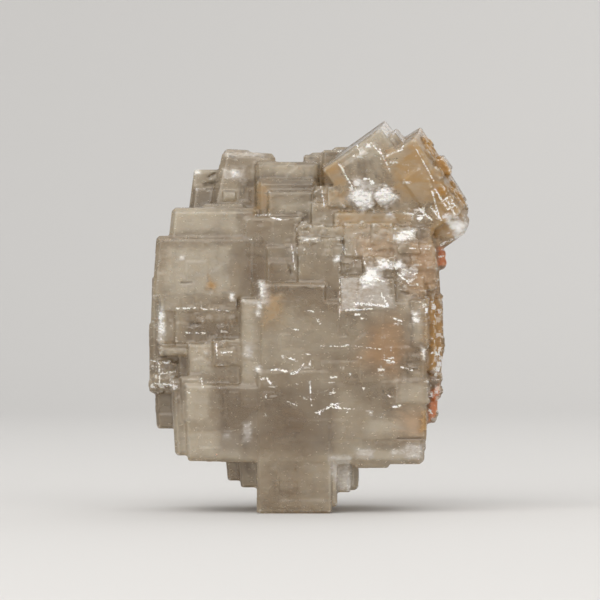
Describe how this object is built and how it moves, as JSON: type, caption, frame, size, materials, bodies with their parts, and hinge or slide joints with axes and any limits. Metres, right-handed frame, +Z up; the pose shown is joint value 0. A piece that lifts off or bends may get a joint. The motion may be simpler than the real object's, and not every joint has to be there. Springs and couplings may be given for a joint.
{
  "type": "halite crystal specimen",
  "caption": "Upright mass of grown-together cubic salt crystals, stepped and milky, with a tilted crystal on its shoulder. Stands unheld on its lowest block as a display specimen.",
  "frame": {"origin": "on the ground, under the middle of the specimen's box", "axes": "+Z up, +Y away from the viewer of the specimen's best face, +X to that viewer's right"},
  "size_m": [0.064, 0.0412, 0.0777],
  "materials": {
    "halite": "milky see-through salt with a satin, partly dissolved surface, white veils inside and orange stains on the right"
  },
  "bodies": {
    "root": {"halite_crystal": "halite"}
  },
  "joints": []
}
